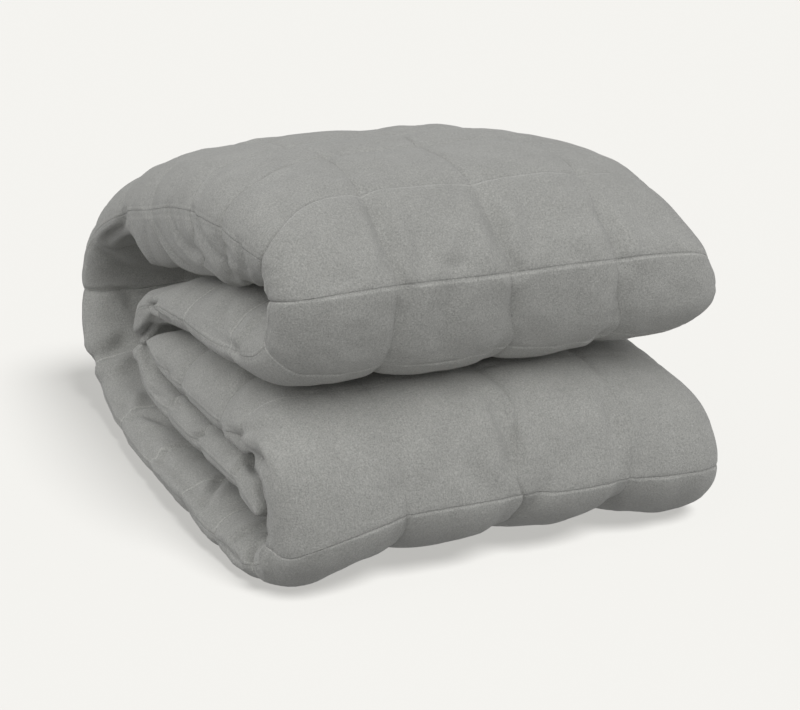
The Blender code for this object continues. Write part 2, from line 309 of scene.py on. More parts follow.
def surface(s, a, g, h, side):
    """Points of the outer (side 1) or inner (side -1) cloth, before its small folds, in squares.
    s and a are the place on the strip, g and h the place among the seams."""
    here = strip_at(s)
    y, z = middle(s, a)
    y0, z0 = middle(np.maximum(0.0, s - NEAR), a)
    y1, z1 = middle(np.minimum(LENGTH, s + NEAR), a)
    run = np.hypot(y1 - y0, z1 - z0)
    ny, nz = (z1 - z0) / run, (y0 - y1) / run
    drawn = 1 - here["col"] * (1 - fullness(h, PUFF))
    drawn = drawn * (1 - here["row"] * (1 - fullness(g, PUFF)))
    drawn = drawn * (1 - RIGHT_THIN * sag(ACROSS - a, RIGHT_REACH))
    drawn = drawn * rounding(np.minimum(g, LENGTH - g), HEM_RISE)
    x = np.where(a < 1, LEFT_X + a * (1 - LEFT_X), a) - here["lx"] * sag(a, LEFT_REACH)
    x = np.where(a > ACROSS - 1, ACROSS - 1 + (a - ACROSS + 1) * (RIGHT_X - ACROSS + 1), x)
    pinch = HEM_PINCH * (np.exp(-seam_distance(g) / PINCH_WIDTH) - PINCH_EASE)
    x = x + pinch * np.clip(1 - h / PINCH_REACH, 0, 1) ** 2
    x = x - pinch * np.clip(1 - (ACROSS - h) / PINCH_REACH, 0, 1) ** 2
    thick = thickness(here, a, side)
    off = side * thick * drawn * rounding(np.minimum(a, ACROSS - a), np.minimum(thick, HEM_ROUND))
    return np.stack((x, y + ny * off, z + nz * off), axis=-1)


def metres(points):
    """Points given in squares, measured from the row's origin in metres."""
    return (points - np.array((*MIDDLE, 0.0))) * SQUARE


def sheet(along, across, side):
    """The cloth of one side on a grid of places among the seams."""
    g, h = np.meshgrid(along, across, indexing="ij")
    da, dc = wander(g, h)
    return surface(g + da, h + dc, g, h, side), g, h


# Soft folds, each along a line on the cloth.
#   name
#   height   in millimetres: below 0 for a trough, above 0 for a ridge
#   width    of the fold, in millimetres
#   line     places as (along, across, side), side 1 for the outer cloth and -1 for the inner
FOLDS = (
    ("col1_over", -5, 8, ((17.06, 1.04, 1), (17.42, 1.03, 1), (17.7, 1.01, 1), (17.89, 0.98, 1))),
    ("col2_over", -5.5, 8,
     ((17.15, 2.02, 1), (17.52, 2.01, 1), (17.82, 1.96, 1), (17.94, 1.99, 1))),
    ("col3_over", -5, 8, ((17.42, 3.03, 1), (17.74, 3.03, 1), (17.94, 3.01, 1), (18.02, 3.03, 1))),
    ("brow_a", -2.5, 7, ((17.67, 1.34, 1), (17.82, 1.26, 1), (17.91, 1.2, 1))),
    ("brow_b", -3, 6, ((17.68, 1.69, 1), (17.81, 1.63, 1), (17.9, 1.56, 1))),
    ("brow_c", -1.4, 8, ((17.41, 2.47, 1), (17.65, 2.45, 1), (17.86, 2.43, 1))),
    ("front_a", -4.5, 9, ((17.93, 1.57, 1), (18.04, 1.48, 1), (18.23, 1.42, 1), (18.58, 1.47, 1))),
    ("front_b", -1.2, 9, ((18.07, 2.29, 1), (18.27, 2.31, 1), (18.59, 2.29, 1))),
    ("front_c", -1.2, 9, ((18.04, 0.43, 1), (18.25, 0.37, 1), (18.48, 0.37, 1))),
    ("front_d", -2, 8, ((18.02, 2.66, 1), (18.22, 2.6, 1), (18.49, 2.57, 1))),
    ("front_e", -2, 8, ((18.06, 3.42, 1), (18.3, 3.45, 1), (18.58, 3.33, 1))),
    ("col1_under", -3.5, 6, ((18.04, 1.04, 1), (18.21, 1.03, 1), (18.64, 1.04, 1))),
    ("col2_under", -2.5, 6,
     ((18.03, 2.04, 1), (18.23, 2.03, 1), (18.68, 1.99, 1), (19.04, 1.94, 1))),
    ("col3_under", -3.5, 6,
     ((18.04, 3.04, 1), (18.27, 3.03, 1), (18.72, 2.96, 1), (19.11, 3.03, 1))),
    ("top_a", -1.8, 4, ((14.89, 0.01, 1), (14.78, 0.04, 1), (14.79, 0.09, 1), (14.83, 0.19, 1))),
    ("top_b", -1.5, 4, ((13.91, 0, 1), (13.89, 0.04, 1), (13.89, 0.13, 1), (13.96, 0.26, 1))),
    ("top_c", -1.5, 7, ((15.91, 1.26, 1), (15.96, 1.47, 1), (16.09, 1.64, 1))),
    ("top_d", -1.5, 6, ((16.53, 0.21, 1), (16.47, 0.38, 1), (16.37, 0.63, 1))),
    ("top_e", -1.2, 6, ((15.53, 0.02, 1), (15.53, 0.1, 1), (15.58, 0.24, 1))),
    ("a_under_1", -5, 5.5,
     ((14.23, 0.01, -1), (14.37, 0.04, -1), (14.59, 0.12, -1), (14.79, 0.17, -1))),
    ("a_under_2", -5, 5, ((14.74, 0, 1), (14.94, 0.04, -1), (15.64, 0.07, -1), (15.78, 0.13, -1))),
    ("a_under_3", -4.5, 5,
     ((15.42, 0, 1), (15.78, 0.02, -1), (16.27, 0.06, -1), (15.96, 0.24, -1))),
    ("a_under_4", -4, 5,
     ((15.98, 0.01, -1), (16.47, 0.02, -1), (16.68, 0.06, -1), (16.4, 0.27, -1))),
    ("a_under_5", -4, 4, ((16.78, 0, 1), (16.89, 0.02, -1), (16.63, 0.21, -1))),
    ("a_ridge_1", 3, 3, ((13.91, 0, 1), (13.78, 0.01, -1), (13.69, 0.04, -1), (13.64, 0.1, -1))),
    ("a_ridge_2", 2, 4, ((14.53, 0, 1), (14.78, 0.02, -1), (14.99, 0.1, -1), (15.57, 0.1, -1))),
    ("a_ridge_3", 2, 4, ((15.04, 0, 1), (15.36, 0.02, -1), (15.86, 0.08, -1), (15.89, 0.17, -1))),
    ("a_lip", 3.5, 6,
     ((13.41, 0, 1), (13.43, 0.01, -1), (13.49, 0.04, -1), (13.58, 0.12, -1), (11.39, 0.79, -1))),
    ("notch", -5, 5, ((13.27, 0, 1), (12.82, 0.04, -1), (12.47, 0.06, -1), (12.19, 0.06, -1))),
    ("spine_a", -7, 9,
     ((11.9, 0.03, -1), (11.73, 0.2, -1), (11.47, 0.38, -1), (11.26, 0.64, -1), (11.12, 1.02, -1))),
    ("spine_b", -2.2, 4,
     ((10.97, 0.02, -1), (11.03, 0.23, -1), (10.97, 0.39, -1), (10.83, 0.57, -1))),
    ("spine_c", -5, 6, ((10.94, 0.37, -1), (10.78, 0.43, -1), (10.62, 0.44, -1))),
    ("spine_d", -10.5, 8,
     ((10.09, 0.01, 1), (10.04, 0.13, -1), (10.13, 0.3, -1), (22.95, 0.01, -1))),
    ("spine_g", 4.5, 6, ((9.83, 0.02, -1), (9.74, 0.12, -1), (9.84, 0.25, -1), (23.12, 0.02, 1))),
    ("spine_e", -4, 7, ((9.27, 0.06, -1), (9.03, 0.09, -1), (8.81, 0.09, -1))),
    ("spine_f", 4, 6, ((8.79, 0.04, -1), (9.01, 0.13, -1), (9.16, 0.24, -1))),
    ("e_a", -6.8, 5, ((8.78, 0.04, -1), (8.7, 0.19, -1), (8.34, 0.29, -1))),
    ("e_b", -5.2, 4, ((7.71, 0.04, -1), (7.79, 0.13, -1), (7.74, 0.29, -1))),
    ("e_c", -5.2, 4, ((6.38, 0.04, -1), (6.45, 0.12, -1), (6.73, 0.3, -1))),
    ("e_d", -5.2, 4, ((5.52, 0.03, -1), (5.48, 0.11, -1), (5.37, 0.23, -1))),
    ("e_e", -3.8, 4, ((5.79, 0, 1), (5.53, 0, 1), (5.31, 0, 1))),
    ("e_f", 3.8, 5, ((7.45, 0.01, -1), (6.81, 0.02, -1), (6.45, 0.02, -1))),
    ("corner_a", 5.2, 4, ((4.06, 0, 1), (4.27, 0, 1), (4.53, 0.02, 1))),
    ("corner_b", -4.5, 4, ((5.06, 0.09, -1), (5.02, 0.02, -1), (4.81, 0.02, 1))),
    ("c_a", -4.2, 4, ((0.87, 0.06, 1), (0.9, 0.12, 1), (1.01, 0.19, 1))),
    ("c_b", -4.9, 4, ((1.87, 0.05, 1), (1.85, 0.09, 1), (1.89, 0.19, 1), (1.99, 0.3, 1))),
    ("c_c", -4.9, 4, ((2.76, 0, 1), (2.99, 0.03, 1), (3.11, 0.09, 1), (3.17, 0.21, 1))),
    ("c_d", -8, 6, ((2.67, 0, 1), (2.85, 0.02, -1), (3.22, 0, 1), (3.31, 0.01, 1))),
    ("c_e", -7, 5, ((3.25, 0.01, 1), (26.01, 0.17, 1), (3.4, 0.02, -1), (26.46, 0.12, 1))),
    ("c_f", 4.2, 5, ((3.16, 0.05, 1), (3.32, 0.06, 1), (3.42, 0.06, 1))),
    ("b_a", -4.2, 4, ((21.21, 0, 1), (21.31, 0.09, -1), (21.42, 0.29, -1))),
    ("b_b", -4.9, 5, ((20.15, 0.04, -1), (20.33, 0.09, -1), (20.43, 0.24, -1), (20.42, 0.34, -1))),
    ("b_c", -4.9, 5, ((19.82, 0, 1), (19.64, 0.06, -1), (19.64, 0.2, -1))),
    ("b_d", -4.2, 5, ((20.53, 0.02, -1), (20.23, 0.01, -1), (19.64, 0, 1))),
    ("roll_a", -9, 3.5, ((22.16, 0.01, -1), (21.95, 0.01, 1), (21.76, 0.04, 1), (21.46, 0.04, 1))),
    ("roll_b", -7.5, 3, ((22.25, 0.02, 1), (22.15, 0, 1), (21.84, 0.02, -1))),
    ("roll_c", 5.2, 3.5,
     ((10.21, 0.39, -1), (22.66, 0.04, 1), (22.33, 0.04, 1), (22.22, 0.01, 1))),
    ("roll_d", -7.5, 3, ((22.95, 0, 1), (22.77, 0.06, 1), (22.52, 0.11, 1))),
    ("roll_e", -7.5, 3, ((22.08, 0.01, 1), (22.16, 0.06, 1), (22.06, 0.08, 1))),
    ("roll_f", 4.5, 3, ((22.44, 0.16, 1), (22.68, 0.12, 1), (22.9, 0.06, 1))),
    ("d_a", -6.8, 4, ((23.01, 0, 1), (23.11, 0.04, 1), (23.31, 0.09, 1))),
    ("d_b", -6.8, 3, ((23.37, 0.01, 1), (23.37, 0.06, 1), (0.57, 0, 1))),
    ("d_c", -5.2, 3, ((23.67, 0.01, 1), (23.83, 0.02, 1), (23.99, 0.02, 1))),
    ("d_d", -4.5, 3, ((23.7, 0.06, 1), (0.83, 0, 1), (1.07, 0.02, 1))),
    ("d_e", -5.2, 3.5, ((23.97, 0, 1), (24.08, 0.07, 1), (1.41, 0.01, -1))),
    ("d_f", -5.2, 3.5, ((24.91, 0, 1), (25.06, 0.04, 1), (25.18, 0.13, 1))),
    ("d_g", -4.5, 3.5, ((25.99, 0.01, 1), (25.98, 0.06, 1), (25.96, 0.12, 1))),
    ("d_h", 3.8, 3.5, ((23.51, 0.03, 1), (23.56, 0.09, 1), (0.74, 0.01, 1))),
    ("low_a", -2, 8, ((3.22, 0.98, 1), (3.42, 0.98, 1), (3.52, 0.98, 1), (3.68, 0.98, 1))),
    ("low_b", -5.5, 7, ((3.37, 1.93, 1), (3.48, 1.93, 1), (3.59, 1.97, 1), (3.72, 1.95, 1))),
    ("low_c", -4.5, 7, ((3.4, 2.97, 1), (3.52, 2.95, 1), (3.63, 2.93, 1), (3.79, 2.91, 1))),
    ("low_d", -1.5, 9, ((3.36, 0.29, 1), (3.52, 0.25, 1), (3.68, 0.24, 1))),
    ("low_e", -1.5, 9, ((3.41, 1.46, 1), (3.58, 1.41, 1), (3.78, 1.3, 1))),
    ("low_f", -3, 12, ((3.68, 2.65, 1), (3.74, 2.53, 1), (3.79, 2.37, 1), (3.85, 2.21, 1))),
    ("low_g", -1.3, 8, ((3.46, 0.56, 1), (3.59, 0.59, 1), (3.76, 0.48, 1))),
    ("low_h", -1.2, 8, ((3.52, 3.42, 1), (3.69, 3.46, 1), (3.89, 3.43, 1))),
    ("low_i", -2, 7, ((3.58, 1.59, 1), (3.65, 1.64, 1), (3.74, 1.65, 1))),
    ("low_j", -3, 7, ((3.89, 2.26, 1), (4.01, 2.15, 1), (4.18, 2.05, 1))),
    ("low_k", -2, 7, ((3.97, 2.94, 1), (4.17, 2.96, 1), (4.62, 3.13, 1))),
    ("low_l", -2, 6, ((3.97, 0.93, 1), (4.11, 0.9, 1), (4.21, 0.85, 1))),
    ("low_m", -2, 6, ((3.96, 1.96, 1), (4.09, 1.87, 1), (4.27, 1.87, 1))),
    ("col1_rise", 2.5, 7, ((17.26, 1.2, 1), (17.54, 1.17, 1), (17.78, 1.13, 1), (17.92, 1.07, 1))),
    ("col2_rise", 2.5, 7, ((17.37, 2.16, 1), (17.69, 2.12, 1), (17.86, 2.09, 1))),
    ("col3_rise", 2, 7, ((17.63, 3.18, 1), (17.86, 3.16, 1), (17.97, 3.16, 1))),
    ("low_b_rise", 2.5, 7, ((3.43, 2.1, 1), (3.54, 2.1, 1), (3.66, 2.09, 1))),
    ("low_c_rise", 2, 7, ((3.51, 3.16, 1), (3.62, 3.13, 1), (3.77, 3.08, 1))),
    ("e_a_rise", 4, 4, ((8.57, 0.04, -1), (8.44, 0.12, -1), (8.15, 0.25, -1))),
    ("e_g", -4, 5, ((8.09, 0.04, -1), (7.87, 0.04, -1), (7.53, 0.06, -1))),
    ("kink_a", -2.5, 4, ((17.89, 1.03, 1), (17.96, 1.04, 1), (18.02, 1.05, 1))),
    ("kink_b", 2, 4, ((17.91, 1.13, 1), (17.99, 1.12, 1))),
    ("kink_c", -2.5, 4, ((17.89, 2.03, 1), (17.96, 2.04, 1), (18.03, 2.05, 1))),
    ("kink_d", -2, 4, ((17.88, 3.04, 1), (17.96, 3.04, 1), (18.03, 3.05, 1))),
    ("dent_a", -2.5, 6, ((17.88, 1.39, 1), (17.92, 1.49, 1), (17.92, 1.6, 1))),
    ("dent_b", -1.8, 6, ((17.89, 2.46, 1), (17.94, 2.55, 1), (17.94, 2.66, 1))),
    ("dent_c", -1.8, 7, ((17.82, 0.34, 1), (17.91, 0.44, 1), (17.91, 0.59, 1))),
    ("low_n", -2.5, 8, ((3.64, 1.47, 1), (3.73, 1.58, 1), (3.82, 1.64, 1))),
    ("low_o", 2, 7, ((3.59, 1.65, 1), (3.69, 1.75, 1), (3.78, 1.79, 1))),
    ("low_p", -2, 8, ((3.65, 2.41, 1), (3.72, 2.32, 1), (3.79, 2.26, 1))),
)
FOLD_NEAR = (0.7, 0.06)  # how far past its length a fold is felt: squares along the strip, metres
# A fold is deepest midway, and follows a half wave of a sine from end to end
FOLD_END = 0.12  # share of the half wave that is cut off at each end
FOLD_TAPER = 0.7  # its power: the lower, the blunter the fold's ends
# The faint rim beside a fold: share of its height, then place and width in widths of the fold
FOLD_RIM = (0.25, 1.9, 0.9)


def fold_lift(points, s):
    """Height that the listed folds add at each point, in metres."""
    lift = np.zeros(len(points))
    rim, rim_place, rim_width = FOLD_RIM
    for _, height, width, line in FOLDS:
        at = np.array([(p[0], p[1]) for p in line], float)
        sides = np.array([p[2] for p in line])
        spots = metres(surface(at[:, 0], at[:, 1], at[:, 0], at[:, 1], sides))
        near = np.abs(s - at[:, 0].mean()) < FOLD_NEAR[0] + np.ptp(at[:, 0])
        away = np.abs(points - spots.mean(0)).max(axis=1)
        near &= away < FOLD_NEAR[1] + np.ptp(spots, axis=0).max()
        here = points[near]
        best = np.full(len(here), 1e9)
        reach = np.zeros(len(here))
        lengths = np.concatenate(([0.0], np.cumsum(np.linalg.norm(np.diff(spots, axis=0), axis=1))))
        for k in range(len(spots) - 1):
            along = spots[k + 1] - spots[k]
            t = np.clip((here - spots[k]) @ along / (along @ along), 0, 1)
            gap = np.linalg.norm(here - spots[k] - t[:, None] * along, axis=1)
            closer = gap < best
            best = np.where(closer, gap, best)
            reach = np.where(closer, lengths[k] + t * (lengths[k + 1] - lengths[k]), reach)
        part = reach / lengths[-1]
        taper = np.sin(np.pi * (FOLD_END + (1 - 2 * FOLD_END) * part)) ** FOLD_TAPER
        u = best / (width / 1000)
        profile = np.exp(-(u**2)) - rim * np.exp(-(((u - rim_place) / rim_width) ** 2))
        lift[near] += height / 1000 * taper * profile
    return lift


# Stitched lines and their puckers. Heights are in metres, places in squares.
ROW_DEPTH, COL_DEPTH = 0.0007, 0.0010  # how deep a crosswise and a lengthwise line are pressed in
LINE_WIDTH = 0.018
PUCKER = 0.0011  # height of the puckers beside a line
PUCKER_SIZES = (0.10, 0.5)  # how long a pucker is along its line, and across it
PUCKER_REACH = 0.13  # how far from the line they are felt
PUCKER_GAP = 0.02  # how close to it they fade out
MID_SQUARE = 0.5  # where the side hem takes over from the nearest lengthwise seam

# The two seams that the front folds turn sharply on
BROWS = (4.0, 18.0)  # in squares along the strip
BROW_HEIGHT = 0.0034  # in metres
BROW_WIDTH = 0.17  # in squares

# Broad dents and rises: height in metres, seed, and size of a wave in squares
DENTS = (
    (0.0016, 21, 0.42, 0.33),
    (0.0008, 31, 0.20, 0.17),
    (0.0004, 41, 0.10, 0.09),
)
DENTS_ON_SEAM = 0.25  # share of them left on a seam

HEM_CALM = 0.05  # how close to a hem the stitched lines and dents fade out, in squares
HEM_FLAT = 0.3  # the same for the turns of the front folds


def hem_distance(g, h, side):
    """How far the nearest side hem is, over the cloth's round edge, in squares."""
    radius = np.minimum(thickness(strip_at(g), h, side), HEM_ROUND)
    inside = np.minimum(h, ACROSS - h)
    return radius * np.arccos(np.clip(1 - inside / radius, 0, 1)) + np.maximum(0, inside - radius)


def seam_folds(g, h, side):
    """Height of the stitched lines and their puckers above the cloth, in metres."""
    row, col = seam_distance(g), seam_distance(h)
    col = np.where(np.minimum(h, ACROSS - h) < MID_SQUARE, hem_distance(g, h, side), col)
    lift = -ROW_DEPTH * np.exp(-((row / LINE_WIDTH) ** 2))
    lift -= COL_DEPTH * np.exp(-((col / LINE_WIDTH) ** 2))
    short, long = PUCKER_SIZES
    by_row = waves(g, h, PUCKER, SEED + 5 + side, long, short)
    by_col = waves(g, h, PUCKER, SEED + 9 + side, short, long)
    for gap, pucker in ((row, by_row), (col, by_col)):
        felt = np.exp(-gap / PUCKER_REACH)
        lift += pucker * felt * (1 - np.exp(-((gap / PUCKER_GAP) ** 2)))
    return lift


def brows(g, side):
    """Height of the two seams that a fold turns sharply on, in metres."""
    turns = sum(np.exp(-np.abs(g - row) / BROW_WIDTH) for row in BROWS)
    return np.where(side > 0, BROW_HEIGHT * turns, 0.0)


def soft_folds(g, h, side):
    """Height of the broad dents and rises of worn, bead-filled cloth, in metres."""
    lift = sum(waves(g, h, high, SEED + seed + side, *sizes) for high, seed, *sizes in DENTS)
    full = np.sqrt(np.clip(2 * np.minimum(seam_distance(g), seam_distance(h)), 0, 1))
    return lift * (DENTS_ON_SEAM + (1 - DENTS_ON_SEAM) * full)


def normals_of(points, faces):
    """The direction that each point's faces look."""
    a, b, c = (points[faces[:, k]] for k in range(3))
    each = np.cross(b - a, c - a)
    found = np.zeros_like(points)
    for k in range(3):
        np.add.at(found, faces[:, k], each)
    return found / (np.linalg.norm(found, axis=1, keepdims=True) + 1e-12)


def zipped(first, second):
    """Triangles between two rows of points that share their two ends."""
    (ids_a, at_a), (ids_b, at_b) = first, second
    i = j = 0
    faces = []
    while i < len(ids_a) - 1 or j < len(ids_b) - 1:
        if j == len(ids_b) - 1 or (i < len(ids_a) - 1 and at_a[i + 1] <= at_b[j + 1]):
            faces.append((ids_a[i], ids_a[i + 1], ids_b[j]))
            i += 1
        else:
            faces.append((ids_a[i], ids_b[j + 1], ids_b[j]))
            j += 1
    return [f for f in faces if len(set(f)) == 3]


def build_blanket():
    """Points and faces of the whole blanket as one closed skin."""
    along = along_places()
    outer_at = across_places(OUTER_STEPS)
    inner_at = across_places(INNER_STEPS)
    outer, go, ho = sheet(along, outer_at, 1)
    inner, gi, hi = sheet(along, inner_at, -1)
    rows, cols, deep = len(along), len(outer_at), len(inner_at)
    outer_id = np.arange(rows * cols).reshape(rows, cols)
    inner_id = np.full((rows, deep), -1)
    inner_id[1:-1, 1:-1] = rows * cols + np.arange((rows - 2) * (deep - 2)).reshape(rows - 2, -1)
    inner_id[:, 0], inner_id[:, -1] = outer_id[:, 0], outer_id[:, -1]
    points = np.concatenate((outer.reshape(-1, 3), inner[1:-1, 1:-1].reshape(-1, 3)))
    g = np.concatenate((go.ravel(), gi[1:-1, 1:-1].ravel()))
    h = np.concatenate((ho.ravel(), hi[1:-1, 1:-1].ravel()))
    side = np.concatenate((np.ones(rows * cols), -np.ones((rows - 2) * (deep - 2))))
    low, high = outer_id[:-1], outer_id[1:]
    quads = np.stack((low[:, :-1], low[:, 1:], high[:, 1:], high[:, :-1]), -1).reshape(-1, 4)
    low, high = inner_id[1:-2], inner_id[2:-1]
    more = np.stack((low[:, :-1], high[:, :-1], high[:, 1:], low[:, 1:]), -1).reshape(-1, 4)
    quads = np.concatenate((quads, more))
    ends = []
    for row, near, turn in ((0, 1, 1), (rows - 1, rows - 2, -1)):
        found = zipped((outer_id[row], outer_at), (inner_id[near], inner_at))
        ends += [f[::-turn] for f in found]
    return points, quads, np.array(ends), g, h, side


def volume_in(points, faces):
    """The volume inside the triangles, times six, below 0 where they look inwards."""
    a, b, c = (points[faces[:, k]] for k in range(3))
    return np.einsum("ij,ij->i", a, np.cross(b, c)).sum()


def detailed_blanket():
    """The cloth with its stitched lines, dents and folds, as one smooth piece."""
    points, quads, ends, g, h, side = build_blanket()
    faces = np.concatenate((quads[:, :3], quads[:, [0, 2, 3]], ends))
    points = metres(points)
    volume = volume_in(points, faces)
    normal = normals_of(points, faces)
    if volume < 0:
        normal = -normal
    lift = np.where(side > 0, seam_folds(g, h, 1) + soft_folds(g, h, 1), 0)
    lift = np.where(side < 0, seam_folds(g, h, -1) + soft_folds(g, h, -1), lift)
    hem = hem_distance(g, h, side)
    lift = lift * np.clip(hem / HEM_CALM, 0, 1)
    lift += brows(g, side) * np.clip(hem / HEM_FLAT, 0, 1)
    lift += fold_lift(points, g)
    points = points + normal * lift[:, None]
    points[:, 2] = np.maximum(points[:, 2], 0.0)
    mesh = bpy.data.meshes.new("blanket")
    mesh.from_pydata(points.tolist(), [], quads.tolist() + ends.tolist())
    mesh.validate()
    mesh.polygons.foreach_set("use_smooth", [True] * len(mesh.polygons))
    if volume < 0:
        mesh.flip_normals()
    mesh.update()
    # Each point's place among the seams and how far its hem is, which the cloth's lines follow
    place = mesh.attributes.new("quilt", "FLOAT_VECTOR", "POINT")
    place.data.foreach_set("vector", np.stack((g, h, hem), axis=-1).astype(np.float32).ravel())
    blanket = bpy.data.objects.new("brushed_blanket", mesh)
    bpy.context.scene.collection.objects.link(blanket)
    return blanket


# The cloth's looks. Places and widths are in squares.
CLOTH_COLOUR = (0.42, 0.42, 0.399)
CLOTH_SHINE = 0.25
CLOTH_SHEEN, SHEEN_ROUGHNESS = 0.25, 0.5
CLOTH_ROUGHNESS = (0.88, 1.0)  # least and most
PILE = (30.0, 84.0, 0.0)  # strands of pile in a square, end to end along the strip and side by side
# Mottling of the tone by noise: its scale, detail and roughness, the part of its range that
# counts, and the tone at the two ends of that part
FUZZ = ((760.0, 3.0, 0.65), (0.30, 0.70), (0.76, 1.24))
PATCHES = ((38.0, 4.0, 0.60), (0.30, 0.70), (0.95, 1.05))
BROAD = ((9.0, 2.0, 0.50), (0.35, 0.65), (0.98, 1.02))
STREAKS = ((1.0, 2.0, 0.60), (0.30, 0.70), (0.92, 1.08))
FUZZ_BUMP = (0.8, 0.0010)  # strength, and height in metres
SEAM_BUMP = (1.0, -0.0005)
SEAM_HALF = 0.012  # half the width of a stitched line
SEAM_SHADE_TONE = 0.97  # painted shade in its groove, as a share of the cloth's tone
COL_SEAM = 0.55  # depth of a lengthwise stitched line, as a share of a crosswise one's
FAINT_SEAMS = ((3.0, 0.15), (16.0, 0.7), (17.0, 0.7), (19.0, 0.35))  # seam, share that shows
HEM_HALF = 0.020  # half the width of a hem's line
HEM_SEAM = 1.5  # depth of a hem's line, as a share of a crosswise one's
SEAM_HIGHLIGHT_PLACE = 0.018  # where the painted highlight beside a crosswise seam is
HEM_HIGHLIGHT_PLACE = 0.036  # where the painted highlight beside a hem's line is
HIGHLIGHT_HALF = 0.016  # half the width of a painted highlight
SEAM_HIGHLIGHT_TONE = 1.22  # the painted highlight's tone, as a share of the cloth's
HEM_HIGHLIGHT = 0.5  # how strong a hem's painted highlight is, as a share of a crosswise seam's


def brushed_cloth():
    """Grey short-pile cloth: fine fuzz, faint mottling where the pile lies another way, painted
    shade in the stitched lines and a painted highlight beside them.
    """
    cloth = bpy.data.materials.new("grey_brushed_cloth")
    cloth.use_nodes = True
    nodes, links = cloth.node_tree.nodes, cloth.node_tree.links
    shader = nodes["Principled BSDF"]

    def maths(operation, *values):
        found = nodes.new("ShaderNodeMath")
        found.operation = operation
        for socket, value in zip(found.inputs, values):
            if isinstance(value, float):
                socket.default_value = value
            else:
                links.new(value, socket)
        return found.outputs[0]

    def ramp(value, low, high, at_low, at_high):
        found = nodes.new("ShaderNodeMapRange")
        found.inputs["From Min"].default_value = low
        found.inputs["From Max"].default_value = high
        found.inputs["To Min"].default_value = at_low
        found.inputs["To Max"].default_value = at_high
        links.new(value, found.inputs["Value"])
        return found.outputs["Result"]

    def line(distance, half, depth):
        """A line drawn on the cloth, from how far away its middle is."""
        found = ramp(distance, 0.0, half, depth, 0.0)
        found.node.interpolation_type = "SMOOTHSTEP"
        return found

    def mottle(kind, where):
        """A noise's value, and the tone that it gives the cloth."""
        (scale, detail, rough), (low, high), (dark, light) = kind
        found = nodes.new("ShaderNodeTexNoise")
        found.inputs["Scale"].default_value = scale
        found.inputs["Detail"].default_value = detail
        found.inputs["Roughness"].default_value = rough
        links.new(where, found.inputs["Vector"])
        value = found.outputs["Fac"]
        return value, ramp(value, low, high, dark, light)

    def bump(height, strength, distance):
        found = nodes.new("ShaderNodeBump")
        found.inputs["Strength"].default_value = strength
        found.inputs["Distance"].default_value = distance
        links.new(height, found.inputs["Height"])
        return found

    # Stitched lines, and the painted highlight beside them where the cloth's edge would catch the
    # light
    quilt = nodes.new("ShaderNodeAttribute")
    quilt.attribute_name = "quilt"
    split = nodes.new("ShaderNodeSeparateXYZ")
    links.new(quilt.outputs["Vector"], split.inputs["Vector"])
    along, across, hem = split.outputs
    rows = line(maths("PINGPONG", along, 0.5), SEAM_HALF, 1.0)
    for seam, share in FAINT_SEAMS:
        close = maths("COMPARE", along, seam, 0.5)
        rows = maths("MULTIPLY", rows, ramp(close, 0.0, 1.0, 1.0, share))
    cols = line(maths("PINGPONG", across, 0.5), SEAM_HALF, COL_SEAM)
    groove = maths("MAXIMUM", rows, cols)
    groove = maths("MAXIMUM", groove, line(hem, HEM_HALF, HEM_SEAM))
    past_row = maths("WRAP", along, 0.5, -0.5)
    from_seam_highlight = maths("ABSOLUTE", maths("SUBTRACT", past_row, SEAM_HIGHLIGHT_PLACE))
    from_hem = maths("ABSOLUTE", maths("SUBTRACT", hem, HEM_HIGHLIGHT_PLACE))
    painted_highlight = line(from_seam_highlight, HIGHLIGHT_HALF, 1.0)
    painted_highlight = maths("MAXIMUM", painted_highlight, line(from_hem, HIGHLIGHT_HALF, HEM_HIGHLIGHT))

    # Tone of the pile
    pile = nodes.new("ShaderNodeVectorMath")
    pile.operation = "MULTIPLY"
    pile.inputs[1].default_value = PILE
    links.new(quilt.outputs["Vector"], pile.inputs[0])
    place = nodes.new("ShaderNodeTexCoord").outputs["Object"]
    fuzz, tone = mottle(FUZZ, place)
    patches, patch_tone = mottle(PATCHES, place)
    tones = (
        patch_tone,
        mottle(BROAD, place)[1],
        mottle(STREAKS, pile.outputs["Vector"])[1],
        # painted shade in the stitched lines' grooves
        ramp(groove, 0.0, 1.0, 1.0, SEAM_SHADE_TONE),
        # painted highlight beside the stitched lines and hem lines
        ramp(painted_highlight, 0.0, 1.0, 1.0, SEAM_HIGHLIGHT_TONE),
    )
    for share in tones:
        tone = maths("MULTIPLY", tone, share)
    colour = nodes.new("ShaderNodeVectorMath")
    colour.operation = "SCALE"
    colour.inputs[0].default_value = CLOTH_COLOUR
    links.new(tone, colour.inputs["Scale"])
    links.new(colour.outputs["Vector"], shader.inputs["Base Color"])

    # Surface
    (low, high), (least, most) = PATCHES[1], CLOTH_ROUGHNESS
    links.new(ramp(patches, low, high, least, most), shader.inputs["Roughness"])
    seams = bump(groove, *SEAM_BUMP)
    pile_bump = bump(fuzz, *FUZZ_BUMP)
    links.new(seams.outputs["Normal"], pile_bump.inputs["Normal"])
    links.new(pile_bump.outputs["Normal"], shader.inputs["Normal"])
    shader.inputs["Specular IOR Level"].default_value = CLOTH_SHINE
    shader.inputs["Sheen Weight"].default_value = CLOTH_SHEEN
    shader.inputs["Sheen Roughness"].default_value = SHEEN_ROUGHNESS
    cloth.diffuse_color = (*CLOTH_COLOUR, 1.0)
    return cloth


blanket = detailed_blanket()
blanket.data.materials.append(brushed_cloth())
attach(blanket, "root")
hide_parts("quilted_blanket")


# Floor, lights and camera

